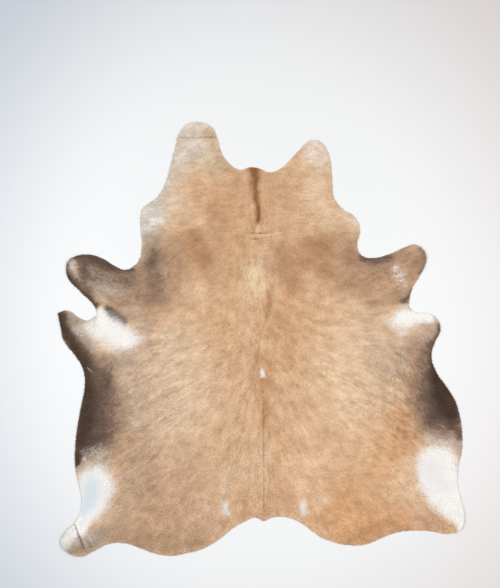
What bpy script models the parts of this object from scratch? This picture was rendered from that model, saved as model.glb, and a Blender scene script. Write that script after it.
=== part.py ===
"""Cowhide: a whole hair-on cow skin laid flat as a rug, one solid piece.

Metres, +Z up. The neck points to +Y, the tail root to -Y. The origin lies under the middle of the
skin's box, on the surface that the skin rests on. The tables hold millimetres.
"""

import math

import bmesh
import bpy

# Driving sizes
MM = 0.001
SKIN_THICKNESS = 2.5 * MM
COAT_THICKNESS = 2.0 * MM
SHEET_THICKNESS = SKIN_THICKNESS + COAT_THICKNESS
GRID_PITCH = 45.0 * MM
GRID_MARGIN = 30.0 * MM
CUTTER_HEIGHT = 100.0 * MM
CURVE_STEPS = 6
WELD_DISTANCE = 0.1 * MM

# Colour of the coat's middle tone, for the plain solid
COAT_COLOUR = (0.56, 0.36, 0.22, 1.0)
COAT_ROUGHNESS = 0.75

# The edge of the skin, clockwise from the throat: one row for each feature, with the knots that
# a smooth line runs through. Columns of a knot: x, y.
EDGE = {
    "throat": [(-105, 847), (-55, 860), (-15, 856), (44, 835), (104, 857)],
    "right neck lobe": [(144, 894), (194, 946), (250, 992), (278, 992), (314, 963), (344, 893)],
    "right cheek": [(354, 797), (364, 707), (404, 652), (468, 609), (493, 549)],
    "right shoulder": [(479, 470), (497, 422), (554, 407)],
    "right fore shank": [(644, 427), (729, 463), (766, 471), (805, 452), (824, 410), (818, 372), (789, 313)],
    "right armpit": [(755, 257), (740, 197), (736, 160)],
    "right belly flap": [(769, 135), (814, 130), (846, 125), (880, 98), (894, 48), (870, -8)],
    "right flank": [(851, -73), (869, -152), (924, -236), (965, -300), (987, -364), (1003, -453)],
    "right stifle": [(1004, -538), (983, -655), (983, -733)],
    "right hind shank": [(1003, -818), (1014, -899), (994, -950), (939, -969), (861, -959)],
    "right thigh": [(769, -953), (674, -964), (594, -993)],
    "right buttock": [(525, -1021), (452, -1027), (344, -1005), (269, -965), (214, -922)],
    "tail root": [(144, -890), (69, -886), (12, -906), (-30, -888), (-79, -906)],
    "left buttock": [(-135, -936), (-215, -999), (-295, -1044), (-355, -1062), (-450, -1079), (-530, -1068)],
    "left thigh": [(-606, -1040), (-670, -1019), (-750, -1018), (-835, -1055)],
    "left hind shank": [(-905, -1083), (-960, -1065), (-998, -1020), (-975, -962), (-933, -922)],
    "left stifle": [(-906, -873), (-894, -803), (-905, -733), (-926, -643)],
    "left flank": [(-928, -553), (-919, -453), (-899, -340), (-879, -228), (-890, -143)],
    "left belly flap": [(-925, -84), (-985, -5), (-1000, 62), (-1014, 132), (-969, 144), (-905, 105)],
    "left armpit": [(-865, 95), (-819, 120), (-825, 155)],
    "left fore shank": [(-905, 243), (-954, 294), (-972, 347), (-960, 392), (-915, 417), (-855, 423), (-785, 401)],
    "left shoulder": [(-735, 369), (-674, 347), (-635, 363), (-603, 407), (-595, 472)],
    "left cheek": [(-599, 542), (-601, 612), (-588, 656), (-555, 680), (-514, 712)],
    "left neck lobe": [(-480, 771), (-456, 846), (-430, 947), (-404, 1025), (-355, 1075), (-315, 1083),
                       (-254, 1062), (-219, 1002), (-200, 940), (-176, 898)],
}

# The knots where the edge turns sharply: the two armpits, the tail root and the left flap's tip
SHARP_KNOTS = [(736, 160), (12, -906), (-1014, 132), (-819, 120)]

# Where the dry skin stands a little off the floor, and the folds that it keeps.
# Columns: name, x, y, heading in degrees from +X, length, width, rise.
SWELLS = [
    ("left neck lobe fold", -330, 1045, 0, 190, 90, 9),
    ("right neck lobe tip", 275, 960, 55, 120, 100, 6),
    ("left fore shank tip", -930, 370, 120, 150, 110, 8),
    ("right fore shank tip", 790, 420, 30, 140, 110, 7),
    ("left belly flap tip", -985, 110, 20, 130, 90, 6),
    ("right belly flap tip", 870, 75, 0, 110, 100, 5),
    ("left hind shank fold", -945, -1010, 100, 190, 110, 11),
    ("right hind shank tip", 985, -915, 60, 170, 120, 7),
    ("left stifle swell", -840, -650, 75, 320, 130, 4),
    ("right stifle swell", 850, -640, 95, 340, 140, 5),
    ("left flank swell", -800, -270, 85, 380, 120, 4),
    ("right flank swell", 900, -430, 80, 360, 120, 5),
    ("neck cross fold", -20, 540, 5, 420, 80, 3),
    ("left rump swell", -330, -960, 10, 360, 130, 4),
    ("right rump swell", 420, -940, 170, 360, 130, 4),
]


def clear_scene():
    for thing in list(bpy.data.objects):
        bpy.data.objects.remove(thing, do_unlink=True)


def new_collection(name):
    collection = bpy.data.collections.new(name)
    bpy.context.scene.collection.children.link(collection)
    return collection


def coat_material():
    material = bpy.data.materials.new("hair-on leather")
    material.use_nodes = True
    shader = material.node_tree.nodes["Principled BSDF"]
    shader.inputs["Base Color"].default_value = COAT_COLOUR
    shader.inputs["Roughness"].default_value = COAT_ROUGHNESS
    shader.inputs["Metallic"].default_value = 0.0
    return material


def rise_at(x, y):
    """Height of the skin's underside above the floor at a point, in metres."""
    height = 0.0
    for _name, middle_x, middle_y, heading, length, width, rise in SWELLS:
        turn = math.radians(heading)
        from_x = x / MM - middle_x
        from_y = y / MM - middle_y
        along = (from_x * math.cos(turn) + from_y * math.sin(turn)) / (length / 2)
        across = (from_y * math.cos(turn) - from_x * math.sin(turn)) / (width / 2)
        reach = along * along + across * across
        if reach < 4.0:
            height += rise * MM * (1.0 - reach / 4.0) ** 2
    return height


def edge_knots():
    return [knot for feature in EDGE.values() for knot in feature]


def edge_prism():
    """The skin's outline as a tall closed prism, which cuts the sheet to shape."""
    curve = bpy.data.curves.new("edge", "CURVE")
    curve.dimensions = "2D"
    curve.fill_mode = "BOTH"
    curve.resolution_u = CURVE_STEPS
    curve.extrude = CUTTER_HEIGHT / 2
    knots = edge_knots()
    spline = curve.splines.new("BEZIER")
    spline.bezier_points.add(len(knots) - 1)
    spline.use_cyclic_u = True
    for point, knot in zip(spline.bezier_points, knots):
        point.co = (knot[0] * MM, knot[1] * MM, 0.0)
        handle = "VECTOR" if knot in SHARP_KNOTS else "AUTO"
        point.handle_left_type = handle
        point.handle_right_type = handle
    outline = bpy.data.objects.new("edge curve", curve)
    bpy.context.scene.collection.objects.link(outline)
    bpy.context.view_layer.update()
    evaluated = outline.evaluated_get(bpy.context.evaluated_depsgraph_get())
    mesh = bpy.data.meshes.new_from_object(evaluated)
    weld(mesh)
    bpy.data.objects.remove(outline, do_unlink=True)
    return bpy.data.objects.new("edge cutter", mesh)


def weld(mesh):
    """Joins the loose caps of a converted curve to its wall."""
    work = bmesh.new()
    work.from_mesh(mesh)
    bmesh.ops.remove_doubles(work, verts=work.verts, dist=WELD_DISTANCE)
    bmesh.ops.recalc_face_normals(work, faces=work.faces)
    work.to_mesh(mesh)
    work.free()


def laid_sheet():
    """An open grid over the whole skin, raised where the skin stands off the floor."""
    knots = edge_knots()
    width = (max(k[0] for k in knots) - min(k[0] for k in knots)) * MM + 2 * GRID_MARGIN
    length = (max(k[1] for k in knots) - min(k[1] for k in knots)) * MM + 2 * GRID_MARGIN
    bpy.ops.mesh.primitive_grid_add(
        x_subdivisions=round(width / GRID_PITCH),
        y_subdivisions=round(length / GRID_PITCH),
        size=1.0,
        location=(0.0, 0.0, 0.0),
    )
    sheet = bpy.context.active_object
    sheet.name = "hide"
    for vertex in sheet.data.vertices:
        vertex.co.x *= width
        vertex.co.y *= length
        vertex.co.z = rise_at(vertex.co.x, vertex.co.y)
    return sheet


def add_modifiers(sheet, cutter):
    thickness = sheet.modifiers.new("skin and coat", "SOLIDIFY")
    thickness.thickness = SHEET_THICKNESS
    thickness.offset = 1.0
    trim = sheet.modifiers.new("trim to the edge", "BOOLEAN")
    trim.operation = "INTERSECT"
    trim.solver = "EXACT"
    trim.object = cutter
    clean = sheet.modifiers.new("clean the cut edge", "WELD")
    clean.merge_threshold = WELD_DISTANCE


def move_to(thing, collection):
    for owner in list(thing.users_collection):
        owner.objects.unlink(thing)
    collection.objects.link(thing)


def main():
    clear_scene()
    pieces = new_collection("cowhide")
    cutters = new_collection("cutters")
    sheet = laid_sheet()
    cutter = edge_prism()
    cutters.objects.link(cutter)
    cutter.hide_render = True
    cutter.display_type = "WIRE"
    move_to(sheet, pieces)
    add_modifiers(sheet, cutter)
    sheet.data.materials.append(coat_material())


main()
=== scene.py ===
import math

import bmesh
import bpy
import numpy as np
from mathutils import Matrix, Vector
from mathutils.bvhtree import BVHTree


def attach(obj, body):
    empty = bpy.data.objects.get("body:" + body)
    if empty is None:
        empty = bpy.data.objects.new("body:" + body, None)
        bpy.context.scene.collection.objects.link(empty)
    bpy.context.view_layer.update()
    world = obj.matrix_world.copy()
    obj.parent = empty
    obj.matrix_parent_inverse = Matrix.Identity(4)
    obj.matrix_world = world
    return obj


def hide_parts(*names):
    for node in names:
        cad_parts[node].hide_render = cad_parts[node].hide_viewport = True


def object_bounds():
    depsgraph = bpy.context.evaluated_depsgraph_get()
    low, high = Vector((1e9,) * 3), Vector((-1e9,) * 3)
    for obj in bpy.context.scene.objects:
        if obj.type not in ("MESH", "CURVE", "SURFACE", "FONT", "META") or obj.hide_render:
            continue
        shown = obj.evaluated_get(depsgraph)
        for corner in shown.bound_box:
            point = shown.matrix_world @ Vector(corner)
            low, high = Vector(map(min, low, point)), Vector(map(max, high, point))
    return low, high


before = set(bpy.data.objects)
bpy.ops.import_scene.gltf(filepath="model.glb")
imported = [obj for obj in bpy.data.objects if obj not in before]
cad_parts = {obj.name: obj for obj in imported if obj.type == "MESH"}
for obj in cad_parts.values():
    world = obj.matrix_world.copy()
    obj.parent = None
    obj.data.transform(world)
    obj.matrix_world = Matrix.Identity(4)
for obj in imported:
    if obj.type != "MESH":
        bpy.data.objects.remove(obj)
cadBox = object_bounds()
print("frame loaded")

mm = 0.001

# Colours of the coat and the skin as seen, sRGB 0 to 255
palette = {
    "fawn": (216, 178, 141),
    "cream": (226, 197, 164),
    "straw": (233, 203, 168),
    "paleSand": (217, 191, 165),
    "greyTan": (190, 166, 145),
    "ochre": (210, 168, 125),
    "amber": (204, 158, 116),
    "darkAmber": (196, 147, 105),
    "ginger": (216, 162, 116),
    "rustLight": (203, 160, 126),
    "rust": (184, 141, 104),
    "clay": (194, 159, 131),
    "clayGrey": (186, 156, 131),
    "hazel": (182, 146, 116),
    "rose": (230, 192, 158),
    "oatmeal": (212, 198, 184),
    "shell": (230, 211, 195),
    "chalk": (216, 208, 200),
    "chestnut": (140, 92, 58),
    "umber": (146, 117, 96),
    "sandGrey": (219, 205, 188),
    "paleClay": (204, 177, 149),
    "taupe": (180, 162, 146),
    "umberTan": (176, 141, 112),
    "rosyTaupe": (190, 163, 149),
    "milk": (235, 231, 226),
    "frost": (201, 210, 217),
    "walnut": (160, 121, 93),
    "cinnamon": (177, 132, 95),
    "lilacGrey": (214, 211, 215),
    "suede": (214, 203, 186),
    "suedeShade": (190, 176, 156),
    "rawEdge": (226, 216, 198),
    "edgeShade": (196, 182, 160),
    "thinDark": (184, 156, 133),
    "frayedDark": (160, 131, 110),
    "halfDark": (127, 103, 87),
    "fullDark": (99, 78, 64),
    "deepDark": (64, 44, 28),
}

# Broad tones of the coat. Columns: name, colour, strength, softness, line of (x, y, half width)
tones = [
    ("left neck lobe", "sandGrey", 0.9, 0.8, [(-330, 1047, 110), (-345, 957, 96), (-375, 900, 60)]),
    ("left neck lobe's tip", "shell", 0.75, 0.9, [(-335, 1050, 60), (-295, 1040, 50)]),
    ("left neck lobe's outer edge", "oatmeal", 0.8, 0.8, [(-390, 1000, 58), (-420, 930, 58),
        (-455, 820, 60), (-520, 710, 75)]),
    ("left neck lobe's inner edge", "paleClay", 0.95, 0.8, [(-245, 1010, 36), (-225, 930, 44),
        (-200, 870, 46)]),
    ("left neck", "sandGrey", 0.4, 0.8, [(-410, 690, 60), (-410, 640, 70), (-400, 590, 50)]),
    ("left cheek", "chalk", 0.95, 0.7, [(-545, 705, 50), (-560, 640, 56), (-555, 590, 54), (-585, 540, 40),
        (-590, 500, 30)]),
    ("left neck's foot", "oatmeal", 0.8, 0.8, [(-500, 745, 44), (-505, 680, 46), (-495, 620, 36)]),
    ("left cheek's lower part", "taupe", 1.0, 0.8, [(-525, 500, 50), (-555, 440, 52)]),
    ("right neck lobe tip", "shell", 1.0, 0.6, [(270, 955, 66), (298, 905, 58)]),
    ("right neck lobe", "cream", 0.8, 0.8, [(290, 830, 75), (265, 750, 75)]),
    ("neck left of the stripe", "rustLight", 0.55, 0.8, [(-90, 820, 60), (-110, 730, 55), (-190, 640, 60)]),
    ("neck right of the stripe", "rustLight", 0.55, 0.8, [(50, 800, 50), (110, 740, 70), (130, 640, 60)]),
    ("neck's middle", "amber", 0.4, 0.8, [(-190, 720, 90), (-90, 640, 90), (-60, 520, 90),
        (-140, 440, 80)]),
    ("neck's middle, right side", "amber", 0.5, 0.8, [(25, 740, 30), (22, 600, 34), (20, 500, 34)]),
    ("right cheek", "cream", 0.6, 0.8, [(308, 612, 48), (390, 600, 60), (440, 560, 40)]),
    ("right neck's foot", "straw", 0.8, 0.8, [(320, 650, 36), (325, 585, 38)]),
    ("right cheek's edge", "shell", 0.6, 0.8, [(440, 625, 30), (475, 590, 30)]),
    ("left shoulder", "cinnamon", 0.85, 0.85, [(-335, 485, 56), (-325, 430, 64), (-290, 370, 48)]),
    ("left shoulder by the spine", "rust", 0.55, 0.8, [(-200, 600, 60), (-190, 540, 60), (-210, 480, 50)]),
    ("left shoulder's outer side", "umberTan", 0.7, 0.8, [(-425, 470, 42), (-420, 410, 48),
        (-420, 345, 48)]),
    ("above the left shoulder", "fawn", 0.7, 0.8, [(-400, 575, 40), (-330, 585, 44)]),
    ("left shoulder, lower", "rust", 0.3, 0.8, [(-200, 350, 70), (-230, 280, 60)]),
    ("right shoulder", "cinnamon", 0.95, 0.85, [(300, 465, 70), (312, 395, 74)]),
    ("right shoulder by the spine", "rust", 0.85, 0.7, [(120, 420, 50), (150, 340, 65), (160, 290, 40)]),
    ("right shoulder, middle", "rust", 0.7, 0.7, [(230, 430, 70)]),
    ("right shoulder's outer side", "hazel", 0.8, 0.8, [(400, 500, 56), (435, 400, 70), (380, 330, 60)]),
    ("right shoulder's dark side", "walnut", 0.7, 0.8, [(475, 410, 46), (545, 350, 50), (480, 285, 44)]),
    ("above the left armpit", "hazel", 0.7, 0.8, [(-480, 400, 80), (-470, 260, 80), (-560, 120, 60)]),
    ("above the right armpit", "hazel", 0.75, 0.8, [(480, 285, 70), (560, 320, 80), (620, 230, 70),
        (560, 180, 60)]),
    ("left fore shank", "taupe", 0.95, 0.5, [(-915, 385, 56), (-925, 335, 60), (-800, 300, 90),
        (-680, 260, 90)]),
    ("left fore shank's lower side", "taupe", 0.85, 0.7, [(-800, 230, 46), (-690, 215, 46),
        (-640, 230, 30)]),
    ("left fore shank's root", "umberTan", 0.75, 0.7, [(-600, 330, 90), (-560, 230, 80), (-690, 170, 60)]),
    ("left shoulder's brown", "umber", 0.7, 0.8, [(-530, 410, 40), (-540, 320, 54), (-525, 225, 50)]),
    ("left flap", "taupe", 0.95, 0.6, [(-960, 90, 50), (-900, 95, 50), (-930, 30, 50), (-880, -20, 60),
        (-850, -100, 50)]),
    ("right of the left armpit", "greyTan", 0.75, 0.8, [(-635, 140, 36), (-600, 70, 40), (-590, 0, 40)]),
    ("under the left armpit", "greyTan", 0.85, 0.8, [(-770, -110, 46), (-680, -110, 46)]),
    ("left flank's side", "umberTan", 0.9, 0.7, [(-830, -150, 70), (-790, -300, 76), (-785, -450, 76)]),
    ("right fore shank", "umberTan", 0.9, 0.6, [(600, 370, 70), (700, 400, 70), (780, 400, 60)]),
    ("right elbow", "umberTan", 0.6, 0.8, [(740, 270, 50), (690, 210, 50)]),
    ("right flap", "greyTan", 0.9, 0.6, [(880, 85, 30), (850, 60, 50), (820, -10, 50)]),
    ("right flap's root", "greyTan", 0.9, 0.8, [(720, -50, 46), (700, -120, 42)]),
    ("right flank's side", "umberTan", 0.9, 0.7, [(790, -90, 60), (770, -200, 60), (790, -320, 66),
        (785, -410, 50), (850, -460, 60)]),
    ("pale withers", "straw", 0.95, 0.7, [(-30, 345, 34), (-25, 290, 50), (-15, 235, 45)]),
    ("left of the withers", "cream", 0.35, 0.8, [(-350, 250, 50)]),
    ("left of the withers, inner", "ochre", 0.5, 0.8, [(-135, 290, 50)]),
    ("left back", "ochre", 0.5, 0.8, [(-180, 130, 70), (-195, 0, 65), (-205, -130, 70)]),
    ("right back", "amber", 0.75, 0.8, [(130, 230, 50), (95, 140, 60), (110, 20, 65), (150, -110, 55)]),
    ("right back, outer side", "ochre", 0.6, 0.8, [(240, 150, 46), (235, 20, 50)]),
    ("spine, middle", "amber", 0.9, 0.75, [(8, -100, 36), (12, -220, 44), (18, -330, 44), (20, -420, 36)]),
    ("spine, upper", "ochre", 0.6, 0.8, [(4, 190, 34), (6, 60, 36)]),
    ("left belly", "paleSand", 0.8, 0.8, [(-520, -50, 80), (-430, -60, 110), (-420, -200, 150),
        (-400, -370, 130)]),
    ("left belly, inner", "cream", 0.65, 0.8, [(-380, -170, 50), (-330, -260, 64), (-290, -330, 56)]),
    ("left belly, outer", "greyTan", 0.75, 0.8, [(-650, -110, 75), (-650, -250, 85), (-640, -380, 85),
        (-600, -450, 60)]),
    ("above the left hock", "hazel", 0.9, 0.8, [(-720, -450, 52), (-710, -560, 52)]),
    ("right belly", "cream", 0.75, 0.8, [(480, 60, 90), (480, -20, 130), (420, -120, 130), (450, -220, 140),
        (430, -340, 120)]),
    ("right belly, inner", "straw", 0.45, 0.8, [(320, -190, 56)]),
    ("right belly, outer", "greyTan", 0.55, 0.9, [(600, -40, 70), (610, -170, 80), (630, -260, 60)]),
    ("right of the right armpit", "paleClay", 0.5, 0.8, [(470, 105, 50), (560, 75, 60), (620, 110, 36)]),
    ("right stifle fold", "darkAmber", 0.7, 0.85, [(688, -400, 46), (695, -470, 55), (695, -545, 48)]),
    ("right thigh's inner side", "ginger", 0.45, 0.9, [(600, -540, 66), (610, -660, 66)]),
    ("left thigh", "clayGrey", 0.85, 0.8, [(-600, -600, 90), (-590, -720, 96)]),
    ("left thigh's foot", "hazel", 0.55, 0.8, [(-545, -820, 64), (-490, -850, 60)]),
    ("left rump", "clay", 0.55, 0.8, [(-400, -620, 110), (-370, -720, 120)]),
    ("left rump, upper", "paleSand", 0.5, 0.8, [(-450, -540, 70)]),
    ("left hock", "greyTan", 0.3, 0.8, [(-700, -780, 60), (-740, -880, 60)]),
    ("left buttock edge", "hazel", 0.9, 0.8, [(-700, -985, 55), (-580, -1000, 64), (-420, -1040, 60),
        (-300, -1000, 50)]),
    ("left buttock's brown", "hazel", 0.5, 0.8, [(-650, -925, 40), (-580, -925, 40)]),
    ("left buttock", "clay", 0.5, 0.8, [(-400, -920, 90), (-250, -900, 70)]),
    ("right rump", "ginger", 0.8, 0.9, [(350, -820, 100), (450, -880, 110), (540, -880, 80)]),
    ("right thigh's lower part", "ginger", 0.5, 0.9, [(670, -885, 48), (720, -895, 40)]),
    ("right rump, core", "darkAmber", 0.2, 0.9, [(380, -790, 55), (540, -760, 50)]),
    ("right buttock edge", "darkAmber", 0.75, 0.8, [(430, -1000, 45), (620, -935, 50), (700, -935, 40)]),
    ("right thigh", "cream", 0.45, 0.8, [(720, -660, 55), (765, -760, 60)]),
    ("right rump, upper", "rose", 0.75, 0.9, [(190, -650, 84), (250, -630, 56)]),
    ("right of the spine, lower", "rose", 0.5, 0.8, [(180, -470, 40), (210, -560, 46), (230, -700, 46),
        (170, -850, 30)]),
    ("croup", "cream", 0.4, 0.8, [(-30, -560, 60), (-5, -680, 55)]),
    ("right of the parting", "ginger", 0.3, 0.8, [(70, -480, 36), (75, -620, 36), (90, -780, 40)]),
    ("croup, left", "paleSand", 0.5, 0.7, [(-180, -640, 32), (-185, -760, 36)]),
    ("tail root, left", "rustLight", 0.6, 0.8, [(-60, -780, 46), (-60, -860, 40)]),
    ("tail root, right", "rustLight", 0.45, 0.8, [(110, -790, 60), (80, -860, 40)]),
    ("around the left hind patch", "taupe", 0.85, 0.7, [(-918, -625, 40), (-870, -590, 50),
        (-830, -600, 66), (-780, -580, 50)]),
    ("left hind shank", "taupe", 1.0, 0.6, [(-800, -960, 40), (-870, -1000, 60), (-950, -1030, 50)]),
    ("left hind shank's tip", "chalk", 0.95, 0.6, [(-955, -985, 44), (-985, -1020, 34)]),
    ("right hind shank's root", "rustLight", 0.6, 0.8, [(800, -900, 40), (870, -925, 34)]),
    ("left thigh's hock side", "clayGrey", 0.5, 0.8, [(-670, -790, 56), (-700, -880, 60)]),
    ("above the right hind patch", "rosyTaupe", 1.0, 0.7, [(850, -450, 56), (940, -475, 60),
        (1000, -510, 50), (990, -590, 40)]),
    ("neck stripe", "chestnut", 0.98, 0.8, [(-32, 866, 25), (-31, 830, 19), (-29, 745, 16), (-21, 670, 11),
        (-13, 600, 9)]),
    ("withers dash", "rust", 0.9, 0.7, [(38, 245, 9), (38, 180, 12), (42, 110, 10)]),
    ("withers dash, faint end", "amber", 0.5, 0.8, [(42, 110, 14), (60, -20, 14)]),
    ("whorl", "rustLight", 0.6, 0.8, [(10, 392, 14), (18, 362, 12)]),
    ("below the back's white dot", "darkAmber", 0.75, 0.8, [(9, -172, 24), (9, -205, 24)]),
    ("tan by the left tail spot", "rose", 0.6, 0.8, [(-235, -815, 36), (-270, -830, 32)]),
    ("tan by the right tail spot", "rose", 0.8, 0.8, [(285, -810, 34), (350, -790, 26)]),
]

# Dark marks. Columns: name, darkness, softness, line of (x, y, half width)
darkMarks = [
    ("left flank", 0.94, 0.6, [(-1018, 137, 18), (-996, 87, 30), (-966, 17, 32), (-920, -53, 38),
        (-886, -128, 46), (-876, -203, 48), (-870, -303, 52), (-880, -403, 54), (-888, -490, 52),
        (-894, -535, 40), (-912, -580, 22), (-924, -628, 12)]),
    ("left flank's inner fringe", 0.56, 1.0, [(-828, -150, 34), (-808, -200, 42), (-798, -300, 46),
        (-796, -400, 48), (-815, -480, 50)]),
    ("left flank's far fringe", 0.42, 1.1, [(-765, -185, 46), (-740, -300, 60), (-732, -410, 62),
        (-765, -500, 50)]),
    ("left flank's lower fringe", 0.36, 0.9, [(-850, -525, 42), (-850, -575, 40)]),
    ("under the left armpit", 0.22, 0.9, [(-850, -70, 44), (-760, -110, 45), (-650, -110, 36)]),
    ("left flap", 0.26, 0.9, [(-950, 95, 40), (-915, 30, 40), (-870, -30, 40)]),
    ("left flap's tip", 0.72, 0.8, [(-1000, 132, 24), (-980, 127, 18)]),
    ("left fore shank's upper rim", 0.78, 0.9, [(-932, 405, 14), (-890, 418, 18), (-850, 410, 26),
        (-795, 395, 32), (-735, 370, 25), (-680, 350, 18), (-640, 352, 10)]),
    ("left fore shank's upper half", 0.34, 0.9, [(-865, 350, 34), (-800, 320, 46), (-730, 297, 44),
        (-665, 290, 34)]),
    ("left fore shank's tip", 0.85, 0.9, [(-968, 385, 17), (-972, 345, 19), (-962, 310, 17)]),
    ("left fore shank's lower rim", 0.86, 0.8, [(-960, 300, 17), (-915, 254, 22), (-865, 209, 26),
        (-826, 172, 18)]),
    ("left fore shank", 0.15, 0.8, [(-890, 318, 60), (-785, 290, 74), (-680, 270, 76)]),
    ("left fore shank's outer half", 0.42, 0.9, [(-888, 380, 22), (-884, 340, 24), (-868, 300, 22)]),
    ("left fore shank's lower half", 0.28, 0.9, [(-935, 312, 22), (-895, 275, 28), (-850, 235, 26)]),
    ("left shoulder's dark edge", 0.3, 0.8, [(-545, 385, 50), (-600, 320, 60), (-530, 290, 60)]),
    ("left shoulder's core", 0.36, 0.9, [(-525, 430, 28), (-545, 385, 28)]),
    ("left cheek's lower part", 0.18, 0.9, [(-515, 505, 30), (-510, 455, 32)]),
    ("left cheek's fleck", 0.25, 0.8, [(-535, 566, 7), (-515, 563, 6)]),
    ("left elbow", 0.26, 0.9, [(-570, 190, 34), (-510, 212, 44), (-465, 195, 30)]),
    ("left elbow's diagonal mark", 0.82, 0.9, [(-765, 152, 16), (-735, 124, 26), (-690, 92, 24)]),
    ("left elbow's spot", 0.32, 0.8, [(-655, 187, 22)]),
    ("right cheek's lower rim", 0.15, 0.9, [(470, 560, 12), (472, 510, 16), (480, 468, 16)]),
    ("right fore shank's upper rim", 0.58, 0.9, [(505, 405, 20), (570, 398, 30), (635, 410, 24)]),
    ("right fore shank's upper part", 0.14, 0.9, [(540, 350, 50), (620, 360, 44)]),
    ("right fore shank's tip", 0.36, 0.9, [(790, 452, 10), (815, 430, 16), (820, 385, 18), (800, 335, 14)]),
    ("right fore shank", 0.2, 0.9, [(690, 420, 40), (765, 405, 46), (770, 340, 36)]),
    ("right fore shank's lower edge", 0.12, 0.9, [(765, 330, 30), (770, 290, 22)]),
    ("right elbow's dark mark", 0.6, 0.9, [(752, 240, 12), (738, 212, 20), (716, 190, 20)]),
    ("right elbow", 0.2, 0.9, [(690, 250, 50), (620, 200, 50)]),
    ("right flap's rim", 0.7, 0.85, [(886, 75, 11), (890, 30, 15), (868, -20, 26)]),
    ("right flap", 0.22, 0.9, [(840, 40, 44), (800, 0, 44), (750, -25, 44)]),
    ("right flank", 0.98, 0.56, [(866, -70, 24), (880, -128, 40), (898, -203, 70), (915, -278, 88),
        (930, -334, 84), (948, -382, 50)]),
    ("right flank's lower end", 0.5, 0.85, [(975, -425, 30), (992, -485, 15)]),
    ("right flank's inner fringe", 0.43, 0.8, [(840, -50, 40), (815, -130, 42), (812, -240, 44),
        (815, -335, 46), (845, -392, 42)]),
    ("right flank's far fringe", 0.12, 0.9, [(770, -60, 50), (748, -180, 52), (742, -300, 52),
        (770, -400, 46)]),
    ("right flank's foot", 0.34, 0.95, [(815, -432, 36), (845, -440, 40), (935, -460, 46),
        (985, -480, 32)]),
    ("left hind shank's brown", 0.32, 0.9, [(-960, -1052, 16), (-905, -1050, 26), (-850, -1032, 22)]),
    ("left hock's brown", 0.26, 0.9, [(-780, -970, 50), (-700, -960, 50)]),
    ("left buttock's shade", 0.2, 0.9, [(-610, -995, 40), (-560, -1010, 44)]),
    ("right hind shank's brown", 0.2, 0.9, [(820, -920, 36), (905, -945, 22)]),
]

# White patches. Columns: name, whiteness, softness, line of (x, y, half width)
whiteMarks = [
    ("left armpit", 1.0, 0.8, [(-800, 128, 26), (-770, 70, 52), (-720, 26, 58), (-675, 6, 46)]),
    ("left armpit's outer part", 0.62, 0.9, [(-862, 62, 34), (-815, 42, 48)]),
    ("left armpit's lower fade", 0.28, 0.9, [(-790, -26, 38), (-720, -46, 42), (-680, -38, 32)]),
    ("left armpit's fade", 0.4, 0.9, [(-635, 7, 46), (-605, 7, 30)]),
    ("left hind patch", 1.0, 0.5, [(-818, -672, 40), (-828, -712, 80), (-840, -780, 90), (-866, -845, 68),
        (-892, -905, 46), (-914, -943, 38)]),
    ("left hind patch's top", 0.2, 0.9, [(-850, -615, 26), (-810, -615, 26)]),
    ("left hind patch's side", 0.26, 0.9, [(-745, -695, 28), (-742, -760, 28)]),
    ("left hind shank's tip", 0.6, 0.8, [(-942, -945, 36), (-960, -985, 36), (-980, -1010, 28)]),
    ("left hind shank", 0.25, 0.8, [(-868, -975, 22), (-850, -1000, 18)]),
    ("right armpit", 1.0, 0.8, [(690, 110, 26), (722, 112, 44), (785, 117, 36), (845, 108, 22)]),
    ("right armpit's lower part", 0.5, 0.9, [(690, 72, 46), (700, 35, 34)]),
    ("right armpit's fade", 0.3, 0.9, [(664, 100, 34), (622, 97, 24)]),
    ("right hind patch", 1.0, 0.4, [(878, -632, 106), (894, -693, 115), (930, -773, 100), (968, -838, 68),
        (996, -898, 34), (1002, -950, 22)]),
    ("left cheek's spot", 0.6, 0.8, [(-535, 590, 16), (-495, 592, 14)]),
    ("neck spot", 0.42, 0.9, [(-17, 568, 9), (-14, 543, 11)]),
    ("whorl's light side", 0.5, 0.8, [(-5, 392, 12)]),
    ("back's white dot", 1.0, 0.6, [(7, -161, 13), (11, -184, 13)]),
    ("left tail spot", 0.62, 0.9, [(-176, -830, 22), (-175, -858, 20)]),
    ("left tail spot's side", 0.3, 0.9, [(-268, -835, 24)]),
    ("right tail spot", 0.68, 0.9, [(208, -830, 22), (210, -860, 20)]),
    ("right tail spot's side", 0.3, 0.9, [(280, -818, 24), (300, -805, 18)]),
    ("left stifle's spot", 0.8, 0.4, [(-890, -593, 5), (-874, -594, 5)]),
    ("left fore shank's pale spot", 0.38, 0.9, [(-934, 390, 12), (-928, 352, 12), (-920, 320, 9)]),
]

# White hairs scattered in darker ones. Same columns as the white patches
speckledMarks = [
    ("right fore shank", 0.54, 0.9, [(674, 347, 34), (694, 318, 46), (702, 288, 30)]),
    ("left flap", 0.42, 0.9, [(-930, 60, 26), (-890, 20, 36)]),
    ("right flap", 0.28, 0.9, [(800, 60, 40), (790, 20, 40)]),
    ("above the right hind patch", 0.42, 0.9, [(830, -500, 44), (930, -520, 44)]),
    ("above the left hind patch", 0.42, 0.9, [(-870, -560, 36), (-800, -555, 40)]),
]

# Nearly bare inner thighs. Same columns again
bareMarks = [
    ("left inner thigh", 1.0, 0.9, [(-842, -722, 36), (-848, -775, 44), (-866, -825, 36),
        (-886, -868, 22)]),
    ("right inner thigh", 0.62, 0.9, [(858, -640, 52), (885, -705, 60), (930, -735, 44)]),
]

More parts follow.
